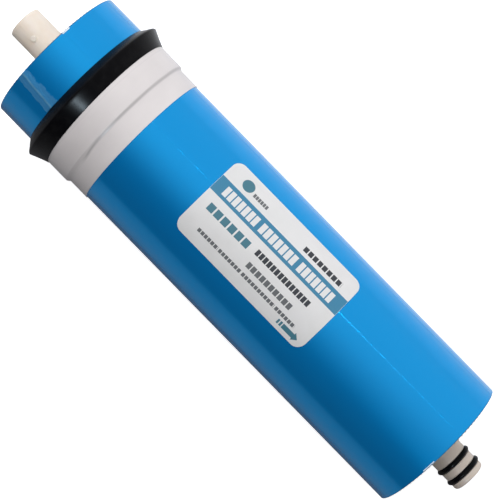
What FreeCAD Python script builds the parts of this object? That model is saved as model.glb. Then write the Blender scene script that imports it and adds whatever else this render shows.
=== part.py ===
# Spiral-wound reverse-osmosis membrane element, lying on its side, in millimetres.
#
# The centre tube runs along X: the plain, plugged end is at -X and the outlet stub with
# its two O-rings at +X. Z is up, and the origin lies on the resting plane under the
# middle of the element. Every revolved piece is drawn from the plain end of the tube,
# along the tube's own axis, and its Placement carries it to the middle of the frame.

import FreeCAD
import Part
import Sketcher
import math
import os

from FreeCAD import Placement, Rotation, Vector

doc = FreeCAD.newDocument("membrane_element")


# ---- driving dimensions --------------------------------------------------------------

SIZES = [
    # whole element
    ("overall_length", "298"),
    ("stub_length", "22"),
    ("body_radius", "36.1"),
    ("film_thickness", "0.4"),
    # centre tube
    ("tube_radius", "8.5"),
    ("bore_radius", "5.5"),
    ("socket_radius", "6"),
    ("socket_depth", "16"),
    ("tip_round", "1.5"),
    ("mouth_round", "0.4"),
    ("hole_radius", "1.2"),
    ("hole_pitch", "44"),
    ("hole_stations", "5"),
    # outlet O-rings and their grooves
    ("ring_section_radius", "1.2"),
    ("ring_outer_radius", "9.45"),
    ("groove_width", "3"),
    ("outer_ring_inset", "4.6"),
    ("ring_spacing", "6.5"),
    # plug at the plain end
    ("plug_length", "18"),
    ("plug_recess", "1"),
    ("plug_fit", "0.03"),
    ("plug_ring_section_radius", "0.9"),
    ("plug_ring_inset", "14.5"),
    ("plug_groove_slack", "0.4"),
    ("pin_radius", "1.5"),
    ("pin_fit", "0.02"),
    ("pin_inset", "10.5"),
    ("pin_depth", "3.2"),
    ("pin_head_height", "0.5"),
    ("pin_head_round", "0.4"),
    ("pin_turn", "17.3"),
    # rolled leaves
    ("leaf_count", "4"),
    ("membrane_thickness", "0.2"),
    ("spacer_thickness", "0.9"),
    ("carrier_thickness", "0.5"),
    # brine seal
    ("seal_inset", "19"),
    ("lip_height", "5.3"),
    ("lip_front_length", "4.4"),
    ("lip_land", "1"),
    ("lip_back_length", "7.9"),
    ("lip_round", "0.5"),
    ("heel_step", "0.25"),
    ("sleeve_length", "11.9"),
    ("sleeve_thickness", "1.15"),
    # tape over the seal's sleeve
    ("tape_thickness", "0.35"),
    ("tape_step_length", "1.5"),
    ("tape_step_round", "0.6"),
    ("tape_overhang", "12"),
    # label
    ("label_inset", "95.7"),
    ("label_length", "80"),
    ("label_sweep", "71.2"),
    ("label_corner", "4.5"),
    ("label_thickness", "0.15"),
    ("label_bedding", "0.12"),
    ("label_turn", "10.1"),
]

DERIVED = [
    ("body_end", "=overall_length - stub_length"),
    ("body_length", "=body_end - stub_length"),
    ("roll_radius", "=body_radius - film_thickness"),
    ("seal_toe", "=stub_length + seal_inset"),
    ("seal_lip_front", "=seal_toe + lip_front_length"),
    ("seal_lip_back", "=seal_lip_front + lip_land"),
    ("seal_lip_radius", "=body_radius + lip_height"),
    ("seal_root", "=seal_lip_back + lip_back_length"),
    ("sleeve_end", "=seal_root + sleeve_length"),
    ("sleeve_radius", "=body_radius + sleeve_thickness"),
    ("tape_radius", "=sleeve_radius + tape_thickness"),
    ("seal_heel_radius", "=tape_radius + heel_step"),
    ("taped_body_radius", "=body_radius + tape_thickness"),
    ("tape_end", "=sleeve_end + tape_overhang"),
    ("label_start", "=stub_length + label_inset"),
    ("label_inner_radius", "=body_radius + label_bedding"),
    ("label_radius", "=label_inner_radius + label_thickness"),
    ("label_chord", "=2 * label_radius * sin(label_sweep / 2 * 1deg)"),
    ("ring_centre_radius", "=ring_outer_radius - ring_section_radius"),
    ("groove_radius", "=ring_outer_radius - 2 * ring_section_radius"),
    ("outer_ring_at", "=overall_length - outer_ring_inset"),
    ("inner_ring_at", "=outer_ring_at - ring_spacing"),
    ("plug_radius", "=bore_radius - plug_fit"),
    ("plug_ring_centre_radius", "=bore_radius - plug_ring_section_radius"),
    ("plug_groove_radius", "=bore_radius - 2 * plug_ring_section_radius"),
    ("plug_groove_width", "=2 * plug_ring_section_radius + plug_groove_slack"),
    ("pin_tip_height", "=plug_radius - pin_depth"),
    ("pin_hole_radius", "=pin_radius + pin_fit"),
    ("pin_head_at", "=tube_radius + pin_head_height"),
    ("axis_height", "=seal_lip_radius"),
    ("half_length", "=overall_length / 2"),
]

sheet = doc.addObject("Spreadsheet::Sheet", "Sizes")
for row, (alias, cell) in enumerate(SIZES + DERIVED, start=1):
    sheet.set("A%d" % row, alias)
    sheet.set("B%d" % row, cell)
    sheet.setAlias("B%d" % row, alias)
doc.recompute()


def size(alias):
    """The value of a named size in millimetres, degrees or pieces."""
    return float(getattr(sheet, alias))


# ---- helpers -------------------------------------------------------------------------

def bind(obj, prop, formula):
    """Tie a property to sizes in the sheet, named there without a prefix."""
    words = []
    for word in formula.replace("(", "( ").replace(")", " )").split():
        words.append("Sizes." + word if word[0].isalpha() else word)
    obj.setExpression(prop, " ".join(words))


def set_on_axis(piece, turn=None):
    """Carry a piece from the plain end of the tube to its place in the frame."""
    bind(piece, "Placement.Base.x", "0 - half_length")
    bind(piece, "Placement.Base.z", "axis_height")
    if turn:
        piece.Placement.Rotation = Rotation(Vector(1, 0, 0), 1)
        bind(piece, "Placement.Rotation.Angle", turn)


def new_body(label, turn=None):
    body = doc.addObject("PartDesign::Body", label)
    body.Label = label
    set_on_axis(body, turn)
    return body


def origin_plane(body, role):
    for feature in body.Origin.OriginFeatures:
        if feature.Role == role:
            return feature
    raise ValueError(role)


def new_sketch(body, name, role):
    sketch = body.newObject("Sketcher::SketchObject", name)
    sketch.AttachmentSupport = (origin_plane(body, role), [""])
    sketch.MapMode = "FlatFace"
    return sketch


# Sketches are drawn roughly round this centre, and their constraints pull them into place.
ROUGH_CENTRE = 100.0
ROUGH_RADIUS = 50.0


def rough_point(share):
    """Point on the rough circle, at a share of the whole turn."""
    turn = 2 * math.pi * share
    along = ROUGH_CENTRE + ROUGH_RADIUS * math.cos(turn)
    out = ROUGH_CENTRE + ROUGH_RADIUS * math.sin(turn)
    return Vector(along, out, 0)


def profile(body, name, corners):
    """Closed outline in the XZ plane whose corners (along, out) are tied to the sheet."""
    sketch = new_sketch(body, name, "XZ_Plane")
    count = len(corners)
    for number in range(count):
        side = Part.LineSegment(rough_point(number / count), rough_point((number + 1) / count))
        sketch.addGeometry(side, False)
    for number in range(count):
        following = (number + 1) % count
        sketch.addConstraint(Sketcher.Constraint("Coincident", number, 2, following, 1))
    for number, (along, out) in enumerate(corners):
        for kind, formula in (("DistanceX", along), ("DistanceY", out)):
            index = sketch.addConstraint(
                Sketcher.Constraint(kind, -1, 1, number, 1, ROUGH_RADIUS)
            )
            bind(sketch, "Constraints[%d]" % index, formula)
    return sketch


def revolve(body, name, corners):
    """Solid of revolution about the tube's axis."""
    sketch = profile(body, name + "_profile", corners)
    feature = body.newObject("PartDesign::Revolution", name)
    feature.Profile = sketch
    feature.ReferenceAxis = (sketch, ["H_Axis"])
    feature.Angle = 360
    sketch.Visibility = False
    return feature


def round_edges(body, name, radius_alias, wanted):
    """Round the circular edges for which wanted(centre_x, radius) is true."""
    doc.recompute()
    tip = body.Tip
    names = []
    for number, edge in enumerate(tip.Shape.Edges, start=1):
        if isinstance(edge.Curve, Part.Circle):
            centre = edge.Curve.Center
            if wanted(centre.x, edge.Curve.Radius):
                names.append("Edge%d" % number)
    feature = body.newObject("PartDesign::Fillet", name)
    feature.Base = (tip, names)
    bind(feature, "Radius", radius_alias)
    return feature


def near(a, b):
    return abs(a - b) < 1e-4


# ---- centre tube ---------------------------------------------------------------------

def groove_corners(centre_alias):
    """The four corners of an O-ring groove in the tube's outside."""
    start = centre_alias + " - groove_width / 2"
    end = centre_alias + " + groove_width / 2"
    return [
        (start, "tube_radius"),
        (start, "groove_radius"),
        (end, "groove_radius"),
        (end, "tube_radius"),
    ]


def hole_circle(body, name, role, along, radius):
    """Sketch of one circle on the tube's axis line, tied to the sheet."""
    sketch = new_sketch(body, name + "_circle", role)
    centre = Vector(ROUGH_RADIUS, 0, 0)
    sketch.addGeometry(Part.Circle(centre, Vector(0, 0, 1), 1), False)
    place = sketch.addConstraint(Sketcher.Constraint("DistanceX", -1, 1, 0, 3, centre.x))
    bind(sketch, "Constraints[%d]" % place, along)
    sketch.addConstraint(Sketcher.Constraint("PointOnObject", 0, 3, -1))
    wide = sketch.addConstraint(Sketcher.Constraint("Radius", 0, 1.0))
    bind(sketch, "Constraints[%d]" % wide, radius)
    sketch.Visibility = False
    return sketch


def cross_holes(body, name, role, first_at):
    """A row of holes drilled right through the tube, spaced along it."""
    pocket = body.newObject("PartDesign::Pocket", name)
    pocket.Profile = hole_circle(body, name, role, first_at, "hole_radius")
    pocket.Type = "ThroughAll"
    pocket.Midplane = True
    doc.recompute()
    row_of_holes = body.newObject("PartDesign::LinearPattern", name + "_row")
    row_of_holes.Originals = [pocket]
    row_of_holes.Direction = (origin_plane(body, "X_Axis"), [""])
    bind(row_of_holes, "Length", "hole_pitch * ( hole_stations - 1 )")
    bind(row_of_holes, "Occurrences", "hole_stations")
    body.Tip = row_of_holes
    doc.recompute()


def make_permeate_tube():
    body = new_body("permeate_tube", "pin_turn")
    corners = [("0", "bore_radius"), ("0", "tube_radius")]
    corners += groove_corners("inner_ring_at")
    corners += groove_corners("outer_ring_at")
    corners += [
        ("overall_length", "tube_radius"),
        ("overall_length", "socket_radius"),
        ("overall_length - socket_depth", "socket_radius"),
        ("overall_length - socket_depth", "bore_radius"),
    ]
    revolve(body, "tube_wall", corners)
    ends = (0, size("overall_length"))

    def outer_rim(centre_x, radius):
        at_end = near(centre_x, ends[0]) or near(centre_x, ends[1])
        return at_end and near(radius, size("tube_radius"))

    def mouth(centre_x, radius):
        return near(centre_x, ends[1]) and near(radius, size("socket_radius"))

    round_edges(body, "tip_rounds", "tip_round", outer_rim)
    round_edges(body, "mouth_edge", "mouth_round", mouth)
    middle = "half_length - hole_pitch * ( hole_stations - 1 ) / 2"
    cross_holes(body, "upright_holes", "XY_Plane", middle + " - hole_pitch / 4")
    cross_holes(body, "level_holes", "XZ_Plane", middle + " + hole_pitch / 4")
    drill_pin_hole(body, "pin_hole")
    return body


def drill_pin_hole(body, name):
    """The round hole for the lock pin, drilled outward from the tube's axis."""
    doc.recompute()
    before = body.Shape.Volume
    sketch = hole_circle(body, name, "XY_Plane", "pin_inset", "pin_hole_radius")
    bind(sketch, "AttachmentOffset.Base.z", "pin_tip_height")
    pocket = body.newObject("PartDesign::Pocket", name)
    pocket.Profile = sketch
    pocket.Type = "ThroughAll"
    pocket.Reversed = True
    doc.recompute()
    if body.Shape.Volume > before - 1:
        raise RuntimeError(name + " cut nothing")


# ---- plug and its lock pin -----------------------------------------------------------

def make_tube_plug():
    body = new_body("tube_plug", "pin_turn")
    groove_start = "plug_ring_inset - plug_groove_width / 2"
    groove_end = "plug_ring_inset + plug_groove_width / 2"
    corners = [
        ("plug_recess", "0"),
        ("plug_recess", "plug_radius"),
        (groove_start, "plug_radius"),
        (groove_start, "plug_groove_radius"),
        (groove_end, "plug_groove_radius"),
        (groove_end, "plug_radius"),
        ("plug_recess + plug_length", "plug_radius"),
        ("plug_recess + plug_length", "0"),
    ]
    revolve(body, "plug_rod", corners)
    drill_pin_hole(body, "plug_pin_hole")
    return body


def make_lock_pin():
    """Straight pin with a low rounded head that stands a little proud of the tube."""
    pin = doc.addObject("Part::Cylinder", "pin_shank")
    bind(pin, "Radius", "pin_radius")
    bind(pin, "Height", "pin_head_at - pin_tip_height")
    bind(pin, "Placement.Base.x", "pin_inset")
    bind(pin, "Placement.Base.z", "pin_tip_height")
    doc.recompute()
    rounded = doc.addObject("Part::Fillet", "plug_lock_pin")
    rounded.Base = pin
    top = size("pin_head_at")
    head_edges = []
    for number, edge in enumerate(pin.Shape.Edges, start=1):
        if isinstance(edge.Curve, Part.Circle) and near(edge.Curve.Center.z, top):
            head_edges.append((number, size("pin_head_round"), size("pin_head_round")))
    rounded.Edges = head_edges
    rounded.Label = "plug_lock_pin"
    pin.Visibility = False
    set_on_axis(rounded, "pin_turn")
    return rounded


# ---- O-rings -------------------------------------------------------------------------

def make_ring(label, at_alias, centre_alias, section_alias):
    """An O-ring round the tube's axis."""
    ring = doc.addObject("Part::Torus", label)
    ring.Label = label
    bind(ring, "Radius1", centre_alias)
    bind(ring, "Radius2", section_alias)
    ring.Placement.Rotation = Rotation(Vector(0, 1, 0), 90)
    bind(ring, "Placement.Base.x", at_alias + " - half_length")
    bind(ring, "Placement.Base.z", "axis_height")
    return ring


# ---- rolled leaves -------------------------------------------------------------------
#
# Each leaf is a membrane sheet folded round a feed spacer, with a permeate carrier under
# it. The leaves start a quarter turn apart on the centre tube and wind outward together,
# so that at any angle the same stack repeats. The sheets lie straight between points
# spaced evenly round the axis, and where the roll meets the tube and the film they follow
# those circles.

INNER_STEPS = 4
OUTER_STEPS = 6
FINE_FROM_RADIUS = 18.0
CURVED_SHARE_OF_PACK = 0.9


def pack_thickness():
    return 2 * size("membrane_thickness") + size("spacer_thickness") + size("carrier_thickness")


def spiral_radius(angle, leaf, height):
    """Radius of the surface that lies height above the bottom of a leaf's stack."""
    count = size("leaf_count")
    turns = angle / 360.0 - leaf / count
    return size("tube_radius") + height + count * pack_thickness() * turns


def end_angle(leaf, height):
    """Where that surface runs into the inside of the film."""
    count = size("leaf_count")
    rise = size("roll_radius") - size("tube_radius") - height
    return 360.0 * (rise / (count * pack_thickness()) + leaf / count)


def polar(angle, radius):
    """A point in the roll's end plane: 0 degrees is up, and the turn is about +X."""
    turn = math.radians(angle)
    return Vector(0, -radius * math.sin(turn), radius * math.cos(turn))


def spiral_point(angle, leaf, height):
    return polar(angle, spiral_radius(angle, leaf, height))


def spiral_angles(leaf, height, start, end):
    """Angles of that surface's corners from start to end, closer where the roll is wide."""
    sector = 360.0 / size("leaf_count")
    angles = [start]
    corner = sector * math.floor(start / sector + 1e-9)
    while corner < end:
        wide = spiral_radius(corner, leaf, height) > FINE_FROM_RADIUS
        steps = OUTER_STEPS if wide else INNER_STEPS
        for step in range(steps):
            angle = corner + sector * step / steps
            if start + 1e-6 < angle < end - 1e-6:
                angles.append(angle)
        corner += sector
    return angles + [end]


def spiral_edges(leaf, height, start, end):
    """That surface from start to end: curved next to the tube, flat steps further out."""
    curved_below = size("tube_radius") + CURVED_SHARE_OF_PACK * pack_thickness()
    angles = spiral_angles(leaf, height, start, end)
    edges = []
    for first, last in zip(angles, angles[1:]):
        ends = [spiral_point(first, leaf, height), spiral_point(last, leaf, height)]
        if spiral_radius(first, leaf, height) < curved_below:
            middle = spiral_point((first + last) / 2, leaf, height)
            edges.append(Part.Arc(ends[0], middle, ends[1]).toShape())
        else:
            edges.append(Part.LineSegment(ends[0], ends[1]).toShape())
    return edges


def step_edge(angle, leaf, low, high):
    """Straight edge across a stack between two of its surfaces."""
    ends = [spiral_point(angle, leaf, low), spiral_point(angle, leaf, high)]
    return [Part.LineSegment(ends[0], ends[1]).toShape()]


def circle_arc(radius, start, end):
    """Arc round the axis from one angle to another."""
    middle = (start + end) / 2
    arc = Part.Arc(polar(start, radius), polar(middle, radius), polar(end, radius))
    return [arc.toShape()]


def rolled_sheet(label, edges):
    """Extrude a sheet's end outline along the whole roll."""
    wire = Part.Wire(Part.__sortEdges__(edges))
    solid = Part.Face(wire).extrude(Vector(size("body_length"), 0, 0))
    sheet_piece = doc.addObject("Part::Feature", label)
    sheet_piece.Label = label
    sheet_piece.Shape = solid
    start = size("stub_length") - size("half_length")
    sheet_piece.Placement = Placement(Vector(start, 0, size("axis_height")), Rotation())
    return sheet_piece


def leaf_start(leaf):
    return 360.0 * leaf / size("leaf_count")


def fold_angle(leaf):
    """Where the membrane's fold ends and the feed spacer begins."""
    fold = math.degrees(size("membrane_thickness") / size("tube_radius"))
    return leaf_start(leaf) + fold


def make_feed_spacer(leaf):
    low = size("carrier_thickness") + size("membrane_thickness")
    high = low + size("spacer_thickness")
    start = fold_angle(leaf)
    low_end = end_angle(leaf, low)
    high_end = end_angle(leaf, high)
    edges = step_edge(start, leaf, low, high)
    edges += spiral_edges(leaf, high, start, high_end)
    edges += circle_arc(size("roll_radius"), high_end, low_end)
    edges += spiral_edges(leaf, low, start, low_end)
    return rolled_sheet("feed_spacer_%d" % (leaf + 1), edges)


def make_membrane_leaf(leaf):
    """One sheet folded in two: a lower ply, the fold at the tube and an upper ply."""
    ply = size("membrane_thickness")
    lower_outside = size("carrier_thickness")
    lower_inside = lower_outside + ply
    upper_inside = lower_inside + size("spacer_thickness")
    upper_outside = upper_inside + ply
    start = leaf_start(leaf)
    fold = fold_angle(leaf)
    edges = step_edge(start, leaf, lower_outside, upper_outside)
    edges += step_edge(fold, leaf, lower_inside, upper_inside)
    for outside, inside in ((lower_outside, lower_inside), (upper_outside, upper_inside)):
        outside_end = end_angle(leaf, outside)
        inside_end = end_angle(leaf, inside)
        edges += spiral_edges(leaf, outside, start, outside_end)
        edges += spiral_edges(leaf, inside, fold, inside_end)
        edges += circle_arc(size("roll_radius"), inside_end, outside_end)
    return rolled_sheet("membrane_leaf_%d" % (leaf + 1), edges)


def make_permeate_carrier(leaf):
    """Carrier cloth whose glued root fills the wedge between the tube and the leaf before."""
    start = leaf_start(leaf)
    before = start - 360.0 / size("leaf_count")
    top = size("carrier_thickness")
    top_end = end_angle(leaf, top)
    bottom_end = end_angle(leaf, 0)
    edges = spiral_edges(leaf - 1, 0, before, start)
    edges += step_edge(start, leaf, top, pack_thickness())
    edges += spiral_edges(leaf, top, start, top_end)
    edges += circle_arc(size("roll_radius"), top_end, bottom_end)
    edges += spiral_edges(leaf, 0, start, bottom_end)
    edges += circle_arc(size("tube_radius"), before, start)
    return rolled_sheet("permeate_carrier_%d" % (leaf + 1), edges)


# ---- film, seal, tape and label ------------------------------------------------------

def make_film_wrap():
    body = new_body("film_wrap")
    corners = [
        ("stub_length", "roll_radius"),
        ("stub_length", "body_radius"),
        ("body_end", "body_radius"),
        ("body_end", "roll_radius"),
    ]
    revolve(body, "film_shell", corners)
    return body


def make_brine_seal():
    """Sleeve with a flared lip: steep towards the feed end, then a long slope to a heel."""
    body = new_body("brine_seal")
    corners = [
        ("seal_toe", "body_radius"),
        ("seal_lip_front", "seal_lip_radius"),
        ("seal_lip_back", "seal_lip_radius"),
        ("seal_root", "seal_heel_radius"),
        ("seal_root", "sleeve_radius"),
        ("sleeve_end", "sleeve_radius"),
        ("sleeve_end", "body_radius"),
    ]
    revolve(body, "seal_ring", corners)
    round_edges(body, "lip_edges", "lip_round",
                lambda centre_x, radius: near(radius, size("seal_lip_radius")))
    return body


def make_seal_tape():
    """Tape wound over the sleeve and on down to the film."""
    body = new_body("seal_tape")
    corners = [
        ("seal_root", "sleeve_radius"),
        ("seal_root", "tape_radius"),
        ("sleeve_end", "tape_radius"),
        ("sleeve_end + tape_step_length", "taped_body_radius"),
        ("tape_end", "taped_body_radius"),
        ("tape_end", "body_radius"),
        ("sleeve_end", "body_radius"),
        ("sleeve_end", "sleeve_radius"),
    ]
    revolve(body, "tape_band", corners)
    step_start = size("sleeve_end")
    step_end = step_start + size("tape_step_length")

    def step_edge_ring(centre_x, radius):
        crest = near(centre_x, step_start) and near(radius, size("tape_radius"))
        foot = near(centre_x, step_end) and near(radius, size("taped_body_radius"))
        return crest or foot

    round_edges(body, "step_rounds", "tape_step_round", step_edge_ring)
    return body


def make_label():
    """A thin curved plate with round corners, cut from a ring that fits on the film."""
    outside = doc.addObject("Part::Cylinder", "label_outside")
    inside = doc.addObject("Part::Cylinder", "label_inside")
    for cylinder, radius in ((outside, "label_radius"), (inside, "label_inner_radius")):
        bind(cylinder, "Radius", radius)
        bind(cylinder, "Height", "label_length")
        bind(cylinder, "Placement.Base.x", "label_start")
        cylinder.Placement.Rotation = Rotation(Vector(0, 1, 0), 90)
    ring = doc.addObject("Part::Cut", "label_ring")
    ring.Base = outside
    ring.Tool = inside
    block = doc.addObject("Part::Box", "label_block")
    bind(block, "Length", "label_length")
    bind(block, "Width", "label_chord")
    bind(block, "Height", "label_radius")
    bind(block, "Placement.Base.x", "label_start")
    bind(block, "Placement.Base.y", "0 - label_chord / 2")
    doc.recompute()
    upright = []
    for number, edge in enumerate(block.Shape.Edges, start=1):
        direction = edge.tangentAt(edge.FirstParameter)
        if abs(direction.z) > 0.99:
            upright.append((number, size("label_corner"), size("label_corner")))
    rounded = doc.addObject("Part::Fillet", "label_outline")
    rounded.Base = block
    rounded.Edges = upright
    label = doc.addObject("Part::Common", "label")
    label.Base = ring
    label.Tool = rounded
    label.Label = "label"
    set_on_axis(label)
    label.Placement.Rotation = Rotation(Vector(-1, 0, 0), 1)
    bind(label, "Placement.Rotation.Angle", "label_turn")
    return label


# ---- build, check and write ----------------------------------------------------------

def build_all():
    pieces = [
        make_permeate_tube(),
        make_tube_plug(),
        make_lock_pin(),
        make_ring("plug_o_ring", "plug_ring_inset", "plug_ring_centre_radius",
                  "plug_ring_section_radius"),
        make_ring("o_ring_inner", "inner_ring_at", "ring_centre_radius",
                  "ring_section_radius"),
        make_ring("o_ring_outer", "outer_ring_at", "ring_centre_radius",
                  "ring_section_radius"),
    ]
    for leaf in range(int(size("leaf_count"))):
        pieces.append(make_permeate_carrier(leaf))
        pieces.append(make_membrane_leaf(leaf))
        pieces.append(make_feed_spacer(leaf))
    pieces.append(make_film_wrap())
    pieces.append(make_brine_seal())
    pieces.append(make_seal_tape())
    pieces.append(make_label())
    doc.recompute()
    return pieces


def check_all(pieces):
    for obj in doc.Objects:
        if "Invalid" in obj.State or "Error" in obj.State:
            raise RuntimeError("%s: %s" % (obj.Label, obj.State))
    for piece in pieces:
        shape = piece.Shape
        if shape.isNull() or not shape.isValid() or len(shape.Solids) != 1:
            raise RuntimeError("%s has no single valid solid" % piece.Label)


def write_all(pieces):
    os.makedirs("parts", exist_ok=True)
    for piece in pieces:
        piece.Shape.exportStep(os.path.join("parts", piece.Label + ".step"))
        print("%-20s %10.1f mm3" % (piece.Label, piece.Shape.Volume))




all_pieces = build_all()
check_all(all_pieces)
write_all(all_pieces)
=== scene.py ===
# %% [markdown]
# # A spiral-wound water membrane, dressed for the camera
#
# The real object is a roll of sheets wound on a plastic tube and wrapped in glossy blue
# film. A black rubber seal is taped round one end, and a paper label sits on the film. All
# lengths are in metres, so MM turns a length in millimetres into one.

import math

import bpy
from mathutils import Matrix, Vector


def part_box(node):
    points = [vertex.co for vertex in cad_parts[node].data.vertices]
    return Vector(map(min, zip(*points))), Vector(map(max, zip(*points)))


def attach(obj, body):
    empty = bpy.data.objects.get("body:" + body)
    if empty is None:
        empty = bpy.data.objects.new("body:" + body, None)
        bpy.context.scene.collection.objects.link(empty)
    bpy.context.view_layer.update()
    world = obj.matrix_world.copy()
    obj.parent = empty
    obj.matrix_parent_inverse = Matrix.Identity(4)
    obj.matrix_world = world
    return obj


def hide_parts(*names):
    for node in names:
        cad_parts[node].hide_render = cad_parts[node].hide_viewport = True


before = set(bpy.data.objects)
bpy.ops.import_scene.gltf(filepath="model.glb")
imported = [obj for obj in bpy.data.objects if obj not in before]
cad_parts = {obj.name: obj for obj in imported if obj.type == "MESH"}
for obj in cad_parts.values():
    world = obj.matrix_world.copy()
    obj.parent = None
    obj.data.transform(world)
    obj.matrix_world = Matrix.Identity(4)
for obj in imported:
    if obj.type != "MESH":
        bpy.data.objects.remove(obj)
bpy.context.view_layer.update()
MM = 0.001
print("solids loaded:", len(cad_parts))

# %% [markdown]
# Where things lie comes from the solids' own boxes, and never from copied numbers, so the
# finishes stay in place if a size of the solids changes. The roll lies along X. Its feed
# face is the one near the seal, and the outlet face is at the other end.

# %% Read the main places
film_low, film_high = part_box("film_wrap")
seal_low, seal_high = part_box("brine_seal")
tape_low, tape_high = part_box("seal_tape")
label_low, label_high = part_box("label")
tube_low, tube_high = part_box("permeate_tube")
FEED_FACE = film_low[0]
OUTLET_FACE = film_high[0]
ROLL_RADIUS = (film_high[1] - film_low[1]) / 2
AXIS_HEIGHT = (film_high[2] + film_low[2]) / 2
print("roll", round(OUTLET_FACE - FEED_FACE, 4), "long, radius", round(ROLL_RADIUS, 4))

# %% [markdown]
# These helpers start each piece from an empty selection, pick points of a mesh by their
# place, apply its modifiers, and bake a finished piece's place into its mesh, which is
# how the solids are kept.

# %% Selection helpers
def select_only(*pieces):
    """Leave just these objects selected, the first one active."""
    bpy.ops.object.select_all(action="DESELECT")
    for piece in pieces:
        piece.select_set(True)
    bpy.context.view_layer.objects.active = pieces[0]


def settle(piece):
    """Bake the object's place, turn and size into its mesh."""
    select_only(piece)
    bpy.ops.object.transform_apply(location=True, rotation=True, scale=True)


def pick_points(piece, wanted):
    """In edit mode, select the points whose place passes the test."""
    bpy.ops.object.mode_set(mode="EDIT")
    bpy.ops.mesh.select_mode(type="VERT")
    bpy.ops.mesh.select_all(action="DESELECT")
    bpy.ops.object.mode_set(mode="OBJECT")
    for point in piece.data.vertices:
        point.select = wanted(point.co)
    bpy.ops.object.mode_set(mode="EDIT")


def bake_modifier(piece, kind, name, **settings):
    """Give a piece a modifier, set it and apply it."""
    modifier = piece.modifiers.new(name, kind)
    for setting, value in settings.items():
        setattr(modifier, setting, value)
    select_only(piece)
    bpy.ops.object.modifier_apply(modifier=name)


def smooth_below(piece, degrees):
    """Shade a piece smooth, but keep the edges that turn by more than this."""
    select_only(piece)
    bpy.ops.object.shade_smooth_by_angle(angle=math.radians(degrees))


def node_object(name):
    """The loaded solid of that name."""
    return bpy.data.objects[name]


print("film faces:", len(node_object("film_wrap").data.polygons))

# %% [markdown]
# A finish is a small network of nodes. These helpers name the steps that the finishes
# share: arithmetic, noise, a colour ramp, a mix of two colours and fine unevenness. Bump
# changes only how the light falls, which suits grain far smaller than the mesh.

# %% Node helpers
def new_material(name, colour, roughness):
    """A material with its shader node, ready to be refined."""
    material = bpy.data.materials.new(name)
    material.use_nodes = True
    shader = material.node_tree.nodes["Principled BSDF"]
    shader.inputs["Base Color"].default_value = (*colour, 1.0)
    shader.inputs["Roughness"].default_value = roughness
    return material, material.node_tree, shader


def feed(tree, value, socket):
    """Link a socket, or write a number into it."""
    if isinstance(value, (int, float)):
        socket.default_value = value
    else:
        tree.links.new(value, socket)


def reckon(tree, operation, first, second=0.0, third=0.0):
    """One step of arithmetic on sockets or numbers."""
    node = tree.nodes.new("ShaderNodeMath")
    node.operation = operation
    feed(tree, first, node.inputs[0])
    feed(tree, second, node.inputs[1])
    feed(tree, third, node.inputs[2])
    return node.outputs[0]


def noise(tree, vector, scale, detail=2.0):
    """Soft random cloudiness, from about 0 to 1."""
    node = tree.nodes.new("ShaderNodeTexNoise")
    node.inputs["Scale"].default_value = scale
    node.inputs["Detail"].default_value = detail
    tree.links.new(vector, node.inputs["Vector"])
    return node.outputs["Fac"]


print("helpers: arithmetic and noise")

# %% [markdown]
# The remaining helpers fade a value, wire colours and wire bump. A bump node can take the
# normal of an earlier one, so slow waves and fine grain can be stacked on one surface.

# %% Colour and bump helpers
def spread(tree, value, low, high, first=0.0, last=1.0, kind="SMOOTHSTEP"):
    """A change from first to last while the value goes from low to high."""
    node = tree.nodes.new("ShaderNodeMapRange")
    node.interpolation_type = kind
    feed(tree, value, node.inputs["Value"])
    for name, number in (("From Min", low), ("From Max", high),
                         ("To Min", first), ("To Max", last)):
        node.inputs[name].default_value = number
    return node.outputs[0]


def colour_ramp(tree, value, stops):
    """Colours spread over a value from 0 to 1."""
    node = tree.nodes.new("ShaderNodeValToRGB")
    ramp = node.color_ramp
    while len(ramp.elements) < len(stops):
        ramp.elements.new(0.5)
    for element, (place, colour) in zip(ramp.elements, stops):
        element.position = place
        element.color = (*colour, 1.0)
    tree.links.new(value, node.inputs["Fac"])
    return node.outputs["Color"]


def blend_colours(tree, share, first, second):
    """The first colour where share is 0, the second where it is 1."""
    node = tree.nodes.new("ShaderNodeMix")
    node.data_type = "RGBA"
    tree.links.new(share, node.inputs[0])
    for value, socket in ((first, node.inputs[6]), (second, node.inputs[7])):
        if isinstance(value, tuple):
            socket.default_value = (*value, 1.0)
        else:
            tree.links.new(value, socket)
    return node.outputs[2]


def bump(tree, shader, height, depth, below=None):
    """Raise the surface by depth where height is one, on top of an earlier bump."""
    node = tree.nodes.new("ShaderNodeBump")
    node.inputs["Strength"].default_value = 1.0
    node.inputs["Distance"].default_value = depth
    tree.links.new(height, node.inputs["Height"])
    if below is not None:
        tree.links.new(below, node.inputs["Normal"])
    tree.links.new(node.outputs["Normal"], shader.inputs["Normal"])
    return node.outputs["Normal"]


print("helpers: fades, colours and bump")

# %% [markdown]
# Most patterns on the roll run along it or round it. Object coordinates are turned into
# roll coordinates: the place along the axis, and the way round from the top measured on
# the film. A pattern can then be laid out flat, like a sheet before it is wrapped.

# %% Roll coordinates
def object_point(tree):
    """The place on the object itself."""
    source = tree.nodes.new("ShaderNodeTexCoord")
    return source.outputs["Object"]


def roll_coordinates(tree):
    """The place along the roll, and the way round it from the top."""
    parts = tree.nodes.new("ShaderNodeSeparateXYZ")
    tree.links.new(object_point(tree), parts.inputs[0])
    lifted = reckon(tree, "SUBTRACT", parts.outputs["Z"], AXIS_HEIGHT)
    turn = reckon(tree, "ARCTAN2", parts.outputs["Y"], lifted)
    return parts.outputs["X"], reckon(tree, "MULTIPLY", turn, ROLL_RADIUS)


def flat_vector(tree, along, way_round, stretch_along, stretch_round):
    """Roll coordinates as a vector whose two directions are stretched differently."""
    node = tree.nodes.new("ShaderNodeCombineXYZ")
    tree.links.new(reckon(tree, "MULTIPLY", along, stretch_along), node.inputs[0])
    tree.links.new(reckon(tree, "MULTIPLY", way_round, stretch_round), node.inputs[1])
    return node.outputs[0]


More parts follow.
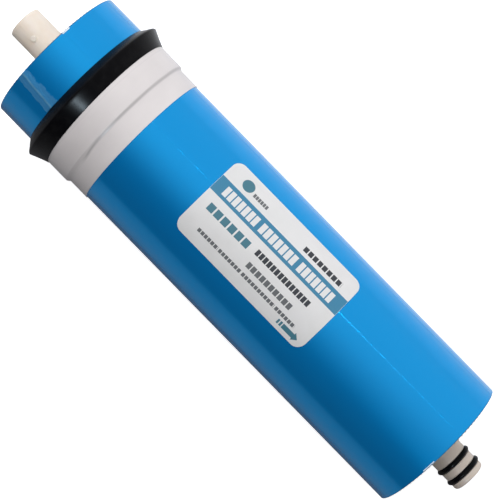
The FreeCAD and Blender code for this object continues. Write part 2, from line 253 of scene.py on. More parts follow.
def dress(name, material):
    """Give a loaded solid its finish."""
    slots = node_object(name).material_slots
    for slot in slots:
        slot.material = material
    if not slots:
        node_object(name).data.materials.append(material)


print("helpers: roll coordinates")

# %% [markdown]
# A few pieces need more than a finish: a cut edge, a recess, a lean. Such a piece starts as
# a free copy of its solid, so the measured solid itself is never touched.

# %% Copies of solids
MERGE_WITHIN = 0.001 * MM


def copy_solid(name, new_name):
    """A free copy of a solid, with its own mesh and its points merged."""
    solid = node_object(name)
    piece = solid.copy()
    piece.data = solid.data.copy()
    piece.name = new_name
    bpy.context.scene.collection.objects.link(piece)
    piece.parent = None
    settle(piece)
    bpy.ops.object.mode_set(mode="EDIT")
    bpy.ops.mesh.select_all(action="SELECT")
    bpy.ops.mesh.remove_doubles(threshold=MERGE_WITHIN)
    bpy.ops.object.mode_set(mode="OBJECT")
    return piece


print("helpers: copies of solids")

# %% [markdown]
# The film is a clear blue plastic tape wound tight over the roll. Light goes into it and
# comes back tinted, and a clear skin mirrors the room. A plain glossy paint would look
# chalky, so the base has a strong shine tinted cyan, under a clear coat. The film's free end
# leaves a fine step along the roll, and it is never quite flat.

# %% Blue film
FILM_BLUE = (0.0, 0.225, 0.66)
FILM_BLUE_DEEP = (0.0, 0.205, 0.63)
FILM_SHINE = (0.0, 0.48, 0.97)
FILM_ROUGHNESS = 0.24
FILM_IOR = 3.0
SKIN_ROUGHNESS = 0.03
SKIN_IOR = 1.31
FILM_WAVES = 0.08 * MM
FILM_GRAIN = 0.002 * MM
SEAM_ROUND = 9.8 * MM
SEAM_SLANT = -0.004
SEAM_STEP = 0.03 * MM
SEAM_FADE = 6 * MM


def seam_height(tree, along, way_round):
    """A step at the film's free end, which dies away behind it."""
    slanted = reckon(tree, "MULTIPLY_ADD", along, SEAM_SLANT, way_round)
    past = reckon(tree, "SUBTRACT", slanted, SEAM_ROUND)
    fading = spread(tree, past, 0.0, SEAM_FADE, 1.0, 0.0, kind="LINEAR")
    return reckon(tree, "MULTIPLY", fading, reckon(tree, "GREATER_THAN", past, 0.0))


def make_film_finish():
    """Deep blue with a cyan shine, under a clear skin."""
    material, tree, shader = new_material("blue_film", FILM_BLUE, FILM_ROUGHNESS)
    shader.inputs["IOR"].default_value = FILM_IOR
    shader.inputs["Specular IOR Level"].default_value = 1.0
    shader.inputs["Specular Tint"].default_value = (*FILM_SHINE, 1.0)
    shader.inputs["Coat Weight"].default_value = 1.0
    shader.inputs["Coat Roughness"].default_value = SKIN_ROUGHNESS
    shader.inputs["Coat IOR"].default_value = SKIN_IOR
    along, way_round = roll_coordinates(tree)
    streaks = noise(tree, flat_vector(tree, along, way_round, 3, 30), 1.0, 2.0)
    colours = colour_ramp(tree, streaks, [(0.3, FILM_BLUE_DEEP), (0.7, FILM_BLUE)])
    tree.links.new(colours, shader.inputs["Base Color"])
    waves = noise(tree, flat_vector(tree, along, way_round, 7, 45), 1.0, 1.0)
    surface = bump(tree, shader, waves, FILM_WAVES)
    surface = bump(tree, shader, seam_height(tree, along, way_round), SEAM_STEP, surface)
    grain = noise(tree, object_point(tree), 350, 2.0)
    bump(tree, shader, grain, FILM_GRAIN, surface)
    return material


film_finish = make_film_finish()
print("finish:", film_finish.name)

# %% [markdown]
# The roll was trimmed with a knife at both faces. The cut edge of the film is slightly
# rounded, and it is painted much darker than its face, a painted shade that draws a fine
# dark line round each rim. A bevel on a copy of the film's solid makes it, and its faces get
# a darker second slot.

# %% Cut edges of the film
CUT_EDGE = 0.30 * MM
# Painted shade: the cut edge's dark colour draws the dark line round each rim.
CUT_EDGE_PAINTED_SHADE = (0.002, 0.045, 0.16)
FACE_SLACK = 0.05 * MM
edge_shade_finish = new_material("film_edge", CUT_EDGE_PAINTED_SHADE, 0.4)[0]


def make_cut_film():
    """A copy of the film whose two outer edges are rounded and painted dark, a painted shade."""
    film = copy_solid("film_wrap", "cut_film")
    film.data.materials.clear()
    film.data.materials.append(film_finish)
    film.data.materials.append(edge_shade_finish)
    outside = ROLL_RADIUS - 0.1 * MM
    for face in (FEED_FACE, OUTLET_FACE):
        pick_points(film, lambda co: abs(co.x - face) < FACE_SLACK
                    and math.hypot(co.y, co.z - AXIS_HEIGHT) > outside)
        bpy.ops.mesh.bevel(offset=CUT_EDGE, segments=3)
        pick_points(film, lambda co: abs(co.x - face) < CUT_EDGE + 0.02 * MM)
        film.active_material_index = 1
        bpy.ops.object.material_slot_assign()
    bpy.ops.object.mode_set(mode="OBJECT")
    smooth_below(film, 15)
    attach(film, "root")
    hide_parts("film_wrap")
    return film


cut_film = make_cut_film()
print("film with cut edges:", len(cut_film.data.polygons), "faces")

# %% [markdown]
# The tube, its plug and the pin are moulded from a cream plastic. Moulded plastic is a
# little cloudy, so its colour drifts slowly and light sinks slightly into it. Beyond the
# outlet face the stub is painted greyer, a painted shade.

# %% Cream plastic
CREAM = (0.93, 0.84, 0.755)
CREAM_SHADE = (0.89, 0.785, 0.685)
# Painted shade on the outlet stub, beyond the outlet face.
STUB_PAINTED_SHADE = (0.58, 0.50, 0.44)
PIN_PALE = (0.98, 0.93, 0.82)
PLASTIC_ROUGHNESS = 0.42
LIGHT_SINKS = (0.004, 0.003, 0.002)
GREY_WITHIN = 4 * MM
GREY_SHARE = 0.55


def make_cream_plastic(name, light, shade):
    """Cloudy plastic between two creams, greyer towards the outlet by painted shade."""
    material, tree, shader = new_material(name, light, PLASTIC_ROUGHNESS)
    shader.inputs["Subsurface Weight"].default_value = 0.12
    shader.inputs["Subsurface Radius"].default_value = LIGHT_SINKS
    shader.inputs["Subsurface Scale"].default_value = 0.5
    along, way_round = roll_coordinates(tree)
    clouds = noise(tree, object_point(tree), 120, 3.0)
    body = colour_ramp(tree, clouds, [(0.35, shade), (0.62, light)])
    # Painted shade: the stub turns greyer beyond the outlet face.
    stub_shade = spread(tree, along, OUTLET_FACE, OUTLET_FACE + GREY_WITHIN, 0.0, GREY_SHARE,
                     kind="LINEAR")
    colours = blend_colours(tree, stub_shade, body, STUB_PAINTED_SHADE)
    tree.links.new(colours, shader.inputs["Base Color"])
    turning = noise(tree, flat_vector(tree, along, way_round, 900, 40), 1.0, 1.0)
    surface = bump(tree, shader, turning, 0.012 * MM)
    grain = noise(tree, object_point(tree), 1500, 2.0)
    bump(tree, shader, grain, 0.006 * MM, surface)
    return material


cream_finish = make_cream_plastic("cream_plastic", CREAM, CREAM_SHADE)
pin_finish = make_cream_plastic("pin_plastic", PIN_PALE, CREAM)
for name in ("permeate_tube", "tube_plug"):
    dress(name, cream_finish)
dress("plug_lock_pin", pin_finish)
print("finish:", cream_finish.name, pin_finish.name)

# %% [markdown]
# The seal and the O-rings are black rubber. Rubber that has been moulded and dusted with
# talc is a very dark grey with a broad, dull shine. The O-rings are greased, so they get
# the same grey with a tighter shine.

# %% Black rubber
RUBBER_BLACK = (0.003, 0.003, 0.004)
RUBBER_DUSTY = (0.007, 0.007, 0.008)


def make_rubber(name, roughness, shine, grain_depth):
    """Nearly black, with faint dust, turning lines and grain."""
    material, tree, shader = new_material(name, RUBBER_BLACK, roughness)
    shader.inputs["Specular IOR Level"].default_value = shine
    along, way_round = roll_coordinates(tree)
    dust = noise(tree, object_point(tree), 260, 4.0)
    colours = colour_ramp(tree, dust, [(0.45, RUBBER_BLACK), (0.75, RUBBER_DUSTY)])
    tree.links.new(colours, shader.inputs["Base Color"])
    rings = noise(tree, flat_vector(tree, along, way_round, 1600, 30), 1.0, 1.0)
    surface = bump(tree, shader, rings, grain_depth)
    grain = noise(tree, object_point(tree), 1400, 2.0)
    bump(tree, shader, grain, 0.5 * grain_depth, surface)
    return material


seal_rubber = make_rubber("seal_rubber", roughness=0.24, shine=0.07, grain_depth=0.006 * MM)
ring_rubber = make_rubber("o_ring_rubber", roughness=0.20, shine=0.08, grain_depth=0.003 * MM)
dress("brine_seal", seal_rubber)
for name in ("o_ring_inner", "o_ring_outer", "plug_o_ring"):
    dress(name, ring_rubber)
print("finish:", seal_rubber.name, ring_rubber.name)

# %% [markdown]
# White tape holds the seal's sleeve. Stretched tape shows fine lines round the roll. It is
# creased where it steps down off the sleeve, and low on the near side the crease wanders
# away from the step and dies out. It is far thinner than the mesh, so it is a bump, and
# its colour is painted darker there as painted shade.

# %% White tape
TAPE_WHITE = (0.785, 0.745, 0.75)
TAPE_GREY = (0.745, 0.705, 0.71)
# Painted shade in the creases of the tape.
CREASE_PAINTED_SHADE = (0.44, 0.42, 0.43)
STEP_FOOT = tape_high[0] - 10.9 * MM
FIRST_TURN = tape_low[0] + 1.5 * MM
CREASE_WIDTH = 1.1 * MM
DRIFT_STARTS = -11 * MM
DRIFT_REACH = 19 * MM
DRIFT = 1.5 * MM
CREASE_FADES = -22 * MM
CREASE_FADE_REACH = 8 * MM
CREASE_LEFT = 0.12
TAPE_LEAN_TOP = -0.55 * MM
TAPE_LEAN_SIDE = -0.30 * MM


def crease(tree, along, place, width):
    """One at a line round the roll, falling to nothing at width on both sides."""
    apart = reckon(tree, "ABSOLUTE", reckon(tree, "SUBTRACT", along, place))
    return spread(tree, apart, 0.0, width, 1.0, 0.0)


def step_crease(tree, along, way_round):
    """The crease along the step, which leans as the tape does and wanders at its end."""
    turn = reckon(tree, "DIVIDE", way_round, ROLL_RADIUS)
    top = reckon(tree, "SUBTRACT", reckon(tree, "COSINE", turn), 1.0)
    lean = reckon(tree, "MULTIPLY", top, TAPE_LEAN_TOP)
    lean = reckon(tree, "MULTIPLY_ADD", reckon(tree, "SINE", turn), TAPE_LEAN_SIDE, lean)
    drift = spread(tree, way_round, DRIFT_STARTS - DRIFT_REACH, DRIFT_STARTS, DRIFT, 0.0)
    place = reckon(tree, "ADD", reckon(tree, "ADD", drift, lean), STEP_FOOT)
    shown = spread(tree, way_round, CREASE_FADES - CREASE_FADE_REACH, CREASE_FADES,
                   CREASE_LEFT, 1.0)
    return reckon(tree, "MULTIPLY", crease(tree, along, place, CREASE_WIDTH), shown)


print("step foot at", round(STEP_FOOT, 4))

# %% [markdown]
# The tape's finish puts the creases together. The colour is painted darker in a crease,
# a painted shade, as well as the surface lower.

# %% Tape finish
CREASE_WANDER = 0.6 * MM
FIRST_CREASE = 0.18
CREASE_SHADE_SHARE = 0.62
CREASE_DEPTH = 0.10 * MM
STRETCH_LINES = 0.015 * MM


def make_tape_finish():
    """Off-white, drifting along the roll, with painted shade in its creases."""
    material, tree, shader = new_material("white_tape", TAPE_WHITE, 0.36)
    along, way_round = roll_coordinates(tree)
    drift = noise(tree, flat_vector(tree, along, way_round, 60, 40), 1.0, 3.0)
    colours = colour_ramp(tree, drift, [(0.35, TAPE_GREY), (0.6, TAPE_WHITE)])
    centred = reckon(tree, "SUBTRACT", along, 0.5 * CREASE_WANDER)
    wander = reckon(tree, "MULTIPLY_ADD", drift, CREASE_WANDER, centred)
    first = reckon(tree, "MULTIPLY", crease(tree, wander, FIRST_TURN, 0.4 * MM), FIRST_CREASE)
    pressed = reckon(tree, "MAXIMUM", step_crease(tree, wander, way_round), first)
    # Painted shade darkens the colour in the creases.
    crease_shade = reckon(tree, "MULTIPLY", pressed, CREASE_SHADE_SHARE)
    colours = blend_colours(tree, crease_shade, colours, CREASE_PAINTED_SHADE)
    tree.links.new(colours, shader.inputs["Base Color"])
    lines = noise(tree, flat_vector(tree, along, way_round, 500, 12), 1.0, 2.0)
    surface = bump(tree, shader, lines, STRETCH_LINES)
    bump(tree, shader, reckon(tree, "SUBTRACT", 1.0, pressed), CREASE_DEPTH, surface)
    return material


tape_finish = make_tape_finish()
dress("seal_tape", tape_finish)
print("finish:", tape_finish.name)

# %% [markdown]
# The label is glossy white paper with a printed band. The print is laid out in millimetres
# from the label's middle, along the roll and round it, and every mark is a rectangle: one
# test along and one round, multiplied. Rows of small blocks stand in for lines of print,
# and an arrow points to the outlet. A row is written as its two ends, its bottom, its top
# and the pitch of its blocks.

# %% Label marks
LABEL_MIDDLE = (label_low[0] + label_high[0]) / 2
BAND = (-39.9, 39.9, 7.5, 16.4)
WHITE_ROWS = [(-34.4, -13.2, 9.2, 14.3, 3.05), (-11.4, 11.3, 9.2, 14.3, 3.25),
              (13.0, 34.7, 9.2, 14.3, 3.1)]
TEAL_ROWS = [(-34.6, -8.8, -0.3, 3.5, 4.4), (23.6, 24.6, -13.8, -11.4, 9),
             (25.2, 26.3, -13.8, -11.4, 9)]
DARK_ROWS = [(-4.9, 28.7, 0.9, 3.9, 2.42), (9.2, 32.9, 18.4, 21.2, 2.95)]
GREY_ROWS = [(-3.8, 24.2, -5.8, -2.9, 2.82)]
SMALL_ROWS = [(-30.4, -17.9, -10.1, -8.3, 2.05), (-17.2, -3.2, -10.1, -8.3, 2.0),
              (-2.5, 18.0, -10.1, -8.3, 2.03), (18.8, 31.0, -10.1, -8.3, 2.02),
              (-23.8, -15.1, 19.3, 21.4, 1.5)]
BLOCK_SHARE = 0.80


def span(tree, value, low, high):
    """One where the value lies between low and high, given in millimetres."""
    return reckon(tree, "COMPARE", value, (low + high) / 2 * MM, (high - low) / 2 * MM)


def rectangle(tree, along, way_round, sides):
    """One inside a rectangle, given as its two ends, its bottom and its top."""
    low, high, bottom, top = sides
    return reckon(tree, "MULTIPLY", span(tree, along, low, high),
                  span(tree, way_round, bottom, top))


def blocks(tree, along, way_round, row):
    """A row of small blocks, one to each pitch."""
    low, pitch = row[0], row[4]
    steps = reckon(tree, "DIVIDE", reckon(tree, "SUBTRACT", along, low * MM), pitch * MM)
    block = reckon(tree, "LESS_THAN", reckon(tree, "FRACT", steps), BLOCK_SHARE)
    return reckon(tree, "MULTIPLY", rectangle(tree, along, way_round, row[:4]), block)


def all_rows(tree, along, way_round, rows):
    """One where any of the rows has a block."""
    total = None
    for row in rows:
        mark = blocks(tree, along, way_round, row)
        total = mark if total is None else reckon(tree, "MAXIMUM", total, mark)
    return total


print("label rows:", len(WHITE_ROWS + TEAL_ROWS + DARK_ROWS + GREY_ROWS + SMALL_ROWS))

# %% [markdown]
# The arrow is a bar with a triangle. A triangle is the place where the distance from the
# arrow's middle line is less than the way that is left to its tip.

# %% Label paper
PAPER = (0.80, 0.80, 0.81)
PAPER_WARM = (0.76, 0.76, 0.765)
BAND_TEAL = (0.045, 0.235, 0.40)
PRINT_TEAL = (0.06, 0.20, 0.27)
PRINT_DARK = (0.035, 0.04, 0.05)
PRINT_GREY = (0.14, 0.15, 0.16)
ARROW_BAR = (26.8, 33.6, -13.8, -11.4)
ARROW_TIP = 36.2
ARROW_MIDDLE = -12.6
ARROW_SPREAD = 0.86
DOT = (-28.2, 21.7, 3.2)
PAPER_WAVES = 0.03 * MM
PAPER_GRAIN = 0.003 * MM


def arrow(tree, along, way_round):
    """A bar with a triangle at its end."""
    bar = rectangle(tree, along, way_round, ARROW_BAR)
    left = reckon(tree, "SUBTRACT", ARROW_TIP * MM, along)
    aside = reckon(tree, "ABSOLUTE", reckon(tree, "SUBTRACT", way_round, ARROW_MIDDLE * MM))
    narrow = reckon(tree, "LESS_THAN", aside, reckon(tree, "MULTIPLY", left, ARROW_SPREAD))
    head = reckon(tree, "MULTIPLY", narrow, span(tree, along, ARROW_BAR[1], ARROW_TIP))
    return reckon(tree, "MAXIMUM", bar, head)


def dot(tree, along, way_round):
    """A plain round spot."""
    middle, height, radius = DOT
    x = reckon(tree, "SUBTRACT", along, middle * MM)
    y = reckon(tree, "SUBTRACT", way_round, height * MM)
    square = reckon(tree, "MULTIPLY_ADD", y, y, reckon(tree, "MULTIPLY", x, x))
    return reckon(tree, "LESS_THAN", square, (radius * MM) ** 2)


def make_label_finish():
    """Paper, then the band, then each kind of mark in its ink."""
    material, tree, shader = new_material("label_paper", PAPER, 0.34)
    along, way_round = roll_coordinates(tree)
    place = reckon(tree, "SUBTRACT", along, LABEL_MIDDLE)
    fibres = noise(tree, object_point(tree), 90, 4.0)
    colours = colour_ramp(tree, fibres, [(0.3, PAPER_WARM), (0.6, PAPER)])
    colours = blend_colours(tree, rectangle(tree, place, way_round, BAND), colours, BAND_TEAL)
    for rows, ink in ((WHITE_ROWS, PAPER), (TEAL_ROWS, PRINT_TEAL), (DARK_ROWS, PRINT_DARK),
                      (GREY_ROWS, PRINT_GREY), (SMALL_ROWS, PRINT_GREY)):
        colours = blend_colours(tree, all_rows(tree, place, way_round, rows), colours, ink)
    colours = blend_colours(tree, arrow(tree, place, way_round), colours, PRINT_TEAL)
    colours = blend_colours(tree, dot(tree, place, way_round), colours, PRINT_TEAL)
    tree.links.new(colours, shader.inputs["Base Color"])
    waves = noise(tree, flat_vector(tree, along, way_round, 25, 25), 1.0, 1.0)
    surface = bump(tree, shader, waves, PAPER_WAVES)
    bump(tree, shader, noise(tree, object_point(tree), 900, 2.0), PAPER_GRAIN, surface)
    return material


label_finish = make_label_finish()
dress("label", label_finish)
print("finish:", label_finish.name)

# %% [markdown]
# Inside, three kinds of sheet are wound together. The membrane is a smooth off-white sheet,
# the carrier a woven tan cloth soaked with resin, and the spacer a plastic net. Only their
# cut edges show, on the two end faces.

# %% Sheet finishes
def make_sheet_finish(name, light, dark, roughness, scale, depth):
    """A cut sheet whose colour drifts along its edge."""
    material, tree, shader = new_material(name, light, roughness)
    drift = noise(tree, object_point(tree), scale, 4.0)
    colours = colour_ramp(tree, drift, [(0.35, dark), (0.62, light)])
    tree.links.new(colours, shader.inputs["Base Color"])
    bump(tree, shader, noise(tree, object_point(tree), 3 * scale, 2.0), depth)
    return material


membrane_finish = make_sheet_finish("membrane_sheet", (0.74, 0.73, 0.68), (0.62, 0.60, 0.54),
                                    roughness=0.45, scale=260, depth=0.05 * MM)
carrier_finish = make_sheet_finish("carrier_cloth", (0.70, 0.61, 0.44), (0.52, 0.43, 0.29),
                                   roughness=0.55, scale=420, depth=0.12 * MM)
net_finish = make_sheet_finish("spacer_net", (0.60, 0.61, 0.60), (0.10, 0.11, 0.12),
                               roughness=0.5, scale=700, depth=0.25 * MM)
for number in range(1, 5):
    dress("membrane_leaf_%d" % number, membrane_finish)
    dress("permeate_carrier_%d" % number, carrier_finish)
    dress("feed_spacer_%d" % number, net_finish)
print("finish:", membrane_finish.name, carrier_finish.name, net_finish.name)

# %% [markdown]
# The spacer is a net, so on the end faces it shows as a dark gap with the cut ends of its
# strands in it. The net's own solid is copied, its two ends are pushed in a little, and it is
# painted dark, a painted shade for the gap. One strand end is modelled, and an array along
# the spiral repeats it.

# %% Recessed nets
NET_RECESS = 0.9 * MM
# Painted shade: the net's copy is dark, standing for the gap between the sheets.
GAP_DARK = (0.055, 0.06, 0.065)
GAP_GREY = (0.16, 0.17, 0.175)
net_gap_shade_finish = make_sheet_finish("net_shadow", GAP_GREY, GAP_DARK,
                               roughness=0.6, scale=500, depth=0.15 * MM)
strand_finish = make_sheet_finish("net_strand", (0.80, 0.81, 0.79), (0.60, 0.62, 0.61),
                                  roughness=0.35, scale=300, depth=0.02 * MM)


def make_recessed_net(number):
    """A copy of one spacer with both its ends pushed in."""
    net = copy_solid("feed_spacer_%d" % number, "spacer_net_%d" % number)
    for face, inwards in ((FEED_FACE, 1), (OUTLET_FACE, -1)):
        pick_points(net, lambda co: abs(co.x - face) < FACE_SLACK)
        bpy.ops.transform.translate(value=(inwards * NET_RECESS, 0, 0))
    bpy.ops.object.mode_set(mode="OBJECT")
    # The copy gets the gap's painted shade.
    net.data.materials.clear()
    net.data.materials.append(net_gap_shade_finish)
    return net


nets = [make_recessed_net(number) for number in range(1, 5)]
print("recessed nets:", len(nets))

# %% [markdown]
# Each leaf starts a quarter turn after the one before and climbs by the whole pack's
# thickness in every turn. The same spiral, drawn half way up the net, is the rail that the
# array's copies follow. A strand end is a short bevelled peg.

# %% Strand ends
LEAVES = 4
CLIMB = 7.2 * MM
NET_MIDDLE = 1.15 * MM
STRAND_PITCH = 2.5 * MM
STRAND_RADIUS = 0.36 * MM
STRAND_BEVEL = 0.06 * MM
STRAND_LENGTH = 1.8 * NET_RECESS
STRAND_DEPTH = 0.35 * NET_RECESS
RAIL_STARTS = 0.12
RAIL_STEP = 0.6 * MM
RAIL_STOPS_SHORT = 1.2 * MM
TUBE_RADIUS = (tube_high[1] - tube_low[1]) / 2


def make_rail(number, face):
    """The spiral half way up one net, on one end face."""
    data = bpy.data.curves.new("rail_%d" % number, "CURVE")
    data.dimensions = "3D"
    data.splines.new("POLY")
    places = []
    turn = 2 * math.pi * (number - 1) / LEAVES + RAIL_STARTS
    while True:
        turns = turn / (2 * math.pi) - (number - 1) / LEAVES
        radius = TUBE_RADIUS + NET_MIDDLE + CLIMB * turns
        if radius > ROLL_RADIUS - RAIL_STOPS_SHORT:
            break
        places.append((face, -radius * math.sin(turn), AXIS_HEIGHT + radius * math.cos(turn)))
        turn += RAIL_STEP / radius
    data.splines[0].points.add(len(places) - 1)
    for point, place in zip(data.splines[0].points, places):
        point.co = (*place, 1)
    rail = bpy.data.objects.new("rail_%d" % number, data)
    bpy.context.scene.collection.objects.link(rail)
    length = sum(math.dist(a, b) for a, b in zip(places, places[1:]))
    return rail, length


def make_strand_row(number, face):
    """A row of pegs along one net's spiral."""
    rail, length = make_rail(number, face)
    bpy.ops.object.select_all(action="DESELECT")
    bpy.ops.mesh.primitive_cylinder_add(vertices=8, radius=STRAND_RADIUS, depth=STRAND_LENGTH)
    row = bpy.context.object
    row.name = "strand_ends_%d" % number
    bpy.ops.object.mode_set(mode="EDIT")
    bpy.ops.mesh.bevel(offset=STRAND_BEVEL, segments=1)
    bpy.ops.object.mode_set(mode="OBJECT")
    bake_modifier(row, "ARRAY", "repeat", use_relative_offset=False, use_constant_offset=True,
                  constant_offset_displace=(0, STRAND_PITCH, 0), count=int(length / STRAND_PITCH))
    bake_modifier(row, "CURVE", "follow", object=rail, deform_axis="POS_Y")
    bpy.data.objects.remove(rail)
    settle(row)
    row.data.materials.append(strand_finish)
    return row


print("strands every", STRAND_PITCH, "m, and the spiral climbs", CLIMB, "m a turn")

# %% [markdown]
# The rows on both faces are joined to their net, so each spacer stays one piece that
# stands for its solid. Left loose, the strand ends would crowd the list of pieces.

# %% Join the strands to the nets
def finish_net(number, net):
    """Join both rows of strand ends to a net and count its faces."""
    rows = [make_strand_row(number, FEED_FACE + STRAND_DEPTH),
            make_strand_row(number, OUTLET_FACE - STRAND_DEPTH)]
    select_only(net, *rows)
    bpy.ops.object.join()
    smooth_below(net, 30)
    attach(net, "root")
    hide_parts("feed_spacer_%d" % number)
    return len(net.data.polygons)


print("net faces:", [finish_net(number, net) for number, net in enumerate(nets, start=1)])

# %% [markdown]
# Between the feed face and the seal the film did not lie down flat: it rises in a slow ramp
# and drops in one sharp pleat. A flat strip is the easy way to model it. The strip is
# tilted about one long edge, its raised edge is folded down, its points are shaken a
# little, and the finished strip is bent round the roll.

# %% Wrapping helper
def wrap_on_roll(piece, radius, turn, middle):
    """Bend a flat piece round the roll. Its X goes round, its Z along and its -Y outwards."""
    bake_modifier(piece, "SIMPLE_DEFORM", "wrap", deform_method="BEND", deform_axis="Z",
                  angle=piece.dimensions.x / radius)
    stand = Matrix(((0, 0, 1, 0), (-1, 0, 0, 0), (0, -1, 0, 0), (0, 0, 0, 1)))
    centre = Matrix.Translation((0, -radius, 0))
    roll = Matrix.Translation((middle, 0, AXIS_HEIGHT)) @ Matrix.Rotation(-turn, 4, "X")
    piece.matrix_world = roll @ stand @ centre
    settle(piece)


def flat_strip(name, reach_round, reach_along, cells_round, cells_along):
    """A flat grid that stands in the XZ plane and faces -Y."""
    bpy.ops.object.select_all(action="DESELECT")
    bpy.ops.mesh.primitive_grid_add(x_subdivisions=cells_round, y_subdivisions=cells_along,
                                    size=1)
    strip = bpy.context.object
    strip.name = name
    strip.scale = (reach_round, reach_along, 1)
    strip.rotation_euler = (math.pi / 2, 0, 0)
    settle(strip)
    return strip


print("wrapping at radius", round(ROLL_RADIUS, 4))

# %% [markdown]
# The pleat has the film's own finish with a painted highlight on it: the film is painted
# pale where the lifted film catches the light. It starts along a ragged line, and it is
# strongest on the crest of the pleat.

# %% Film with painted highlight
# Colours and shares of the painted highlight on the pleat.
HIGHLIGHT_PALE = (0.20, 0.52, 0.84)
HIGHLIGHT_STARTS = -14.2 * MM
HIGHLIGHT_FULL = -15.4 * MM
HIGHLIGHT_SHARE = 0.40
HIGHLIGHT_RAGGED = 5 * MM
CREST_ROUND = -18.1 * MM
CREST_SLANT = -0.09
CREST_RAGGED = 0.8 * MM
CREST_WIDTH = 0.85 * MM
CREST_HIGHLIGHT_SHARE = 0.6


def make_highlighted_film():
    """The film's finish with a painted highlight: a pale patch and a pale crest."""
    material = film_finish.copy()
    material.name = "highlighted_film"
    tree = material.node_tree
    shader = tree.nodes["Principled BSDF"]
    along, way_round = roll_coordinates(tree)
    from_middle = reckon(tree, "SUBTRACT", along, (FEED_FACE + seal_low[0]) / 2)
    ragged = noise(tree, flat_vector(tree, along, way_round, 230, 60), 1.0, 3.0)
    shaken = reckon(tree, "SUBTRACT", ragged, 0.5)
    uneven = reckon(tree, "MULTIPLY_ADD", shaken, HIGHLIGHT_RAGGED, way_round)
    highlight_patch = spread(tree, uneven, HIGHLIGHT_FULL, HIGHLIGHT_STARTS, HIGHLIGHT_SHARE, 0.0)
    level = reckon(tree, "MULTIPLY_ADD", from_middle, -CREST_SLANT, way_round)
    level = reckon(tree, "MULTIPLY_ADD", shaken, CREST_RAGGED, level)
    crest = reckon(tree, "MULTIPLY", crease(tree, level, CREST_ROUND, CREST_WIDTH), CREST_HIGHLIGHT_SHARE)
    # Painted highlight: pale on the ragged patch and along the crest.
    pale_highlight = reckon(tree, "ADD", highlight_patch, crest)
    plain = shader.inputs["Base Color"].links[0].from_socket
    tree.links.new(blend_colours(tree, pale_highlight, plain, HIGHLIGHT_PALE), shader.inputs["Base Color"])
    return material


highlighted_film = make_highlighted_film()
print("finish:", highlighted_film.name)

# %% [markdown]
# The pleat's strip is as long as the bare film there. It starts level with the film, climbs
# to a crest that catches the light from above, sinks a little and ends in a small drop. The
# crest slants and wavers, because nobody meant to make it.

# %% Pleat profile
PLEAT_REACH = 9.6 * MM
PLEAT_TURN = math.radians(-27.0)
PLEAT_LENGTH = seal_low[0] - FEED_FACE + 1.0 * MM
PLEAT_MIDDLE = (FEED_FACE + seal_low[0]) / 2 + 0.6 * MM
PLEAT_ROWS = 24
PLEAT_COLUMNS = 40
CREST_AT = 0.60
CREST_HEIGHT = 0.52 * MM
SHELF_HEIGHT = 0.30 * MM
CREST_CLIMB = 2.4
CREST_DROP = 2.5


def pleat_height(share):
    """How high the pleat stands at a share of its way down from the top edge."""
    if share < CREST_AT:
        return CREST_HEIGHT * (share / CREST_AT) ** CREST_CLIMB
    past = (share - CREST_AT) / (1 - CREST_AT)
    return CREST_HEIGHT - (CREST_HEIGHT - SHELF_HEIGHT) * min(1.0, CREST_DROP * past)


print("crest", round(pleat_height(CREST_AT) / MM, 2), "mm high")

# %% [markdown]
# The rows are lifted one after another, and then the columns are moved along the way round,
# each a little differently, which makes the crest waver. Two waves of different length are
# added for that, so it doesn't look regular.

# %% Film pleat
PLEAT_SUNK = 0.06 * MM
ROW_SLACK = 0.02 * MM
LONG_WAVER = (0.30, 0.9, 0.0)
SHORT_WAVER = (0.18, 2.3, 1.0)
WAVER_SHARE = 0.6
PLEAT_SHAKE = 0.05 * MM
FOLD_SLOPE = 0.10 * MM


def make_film_pleat():
    """A strip whose rows are lifted and whose crest wavers."""
    pleat = flat_strip("film_pleat", PLEAT_REACH, PLEAT_LENGTH, PLEAT_ROWS, PLEAT_COLUMNS)
    edge = PLEAT_REACH / 2
    for row in range(PLEAT_ROWS + 1):
        share = row / PLEAT_ROWS
        place = -edge + PLEAT_REACH * share
        pick_points(pleat, lambda co: abs(co.x - place) < ROW_SLACK)
        bpy.ops.transform.translate(value=(0, PLEAT_SUNK - pleat_height(share), 0))
    for column in range(PLEAT_COLUMNS + 1):
        place = PLEAT_LENGTH * (column / PLEAT_COLUMNS - 0.5)
        waver = sum(height * math.sin(waves * place / MM + start)
                    for height, waves, start in (LONG_WAVER, SHORT_WAVER))
        pick_points(pleat, lambda co: abs(co.z - place) < ROW_SLACK and co.x > -0.3 * edge)
        bpy.ops.transform.translate(value=(waver * MM * WAVER_SHARE - CREST_SLANT * place, 0, 0))
    pick_points(pleat, lambda co: co.y < -0.1 * MM)
    bpy.ops.transform.vertex_random(offset=PLEAT_SHAKE, uniform=0.2, normal=0.6, seed=4)
    bpy.ops.object.mode_set(mode="OBJECT")
    return pleat


def finish_film_pleat(pleat):
    """Fold the lower edge down to the film, smooth the strip and wrap it."""
    pick_points(pleat, lambda co: False)
    bpy.ops.object.mode_set(mode="OBJECT")
    for index in range(PLEAT_ROWS, len(pleat.data.vertices), PLEAT_ROWS + 1):
        pleat.data.vertices[index].select = True
    bpy.ops.object.mode_set(mode="EDIT")
    fold = {"value": (FOLD_SLOPE, SHELF_HEIGHT, 0)}
    bpy.ops.mesh.extrude_region_move(TRANSFORM_OT_translate=fold)
    bpy.ops.object.mode_set(mode="OBJECT")
    bake_modifier(pleat, "SUBSURF", "finer", levels=2, render_levels=2)
    wrap_on_roll(pleat, ROLL_RADIUS, PLEAT_TURN, PLEAT_MIDDLE)
    smooth_below(pleat, 40)
    pleat.data.materials.append(highlighted_film)
    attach(pleat, "root")
    return pleat


film_pleat = finish_film_pleat(make_film_pleat())
print("film pleat:", len(film_pleat.data.polygons), "faces")

# %% [markdown]
# The rubber seal is soft. Taped on by hand, it sits slightly askew, which a turned solid
# can't show. So it is turned again here: a circle is extruded ring by ring along the seal's
# outline, each ring is sized and leaned, and the last ring is bridged to the first. A lean
# is how far a ring moves towards the outlet at its top and at its far side. A corner gives
# a ring's place along the seal in millimetres, its radius and its lean.

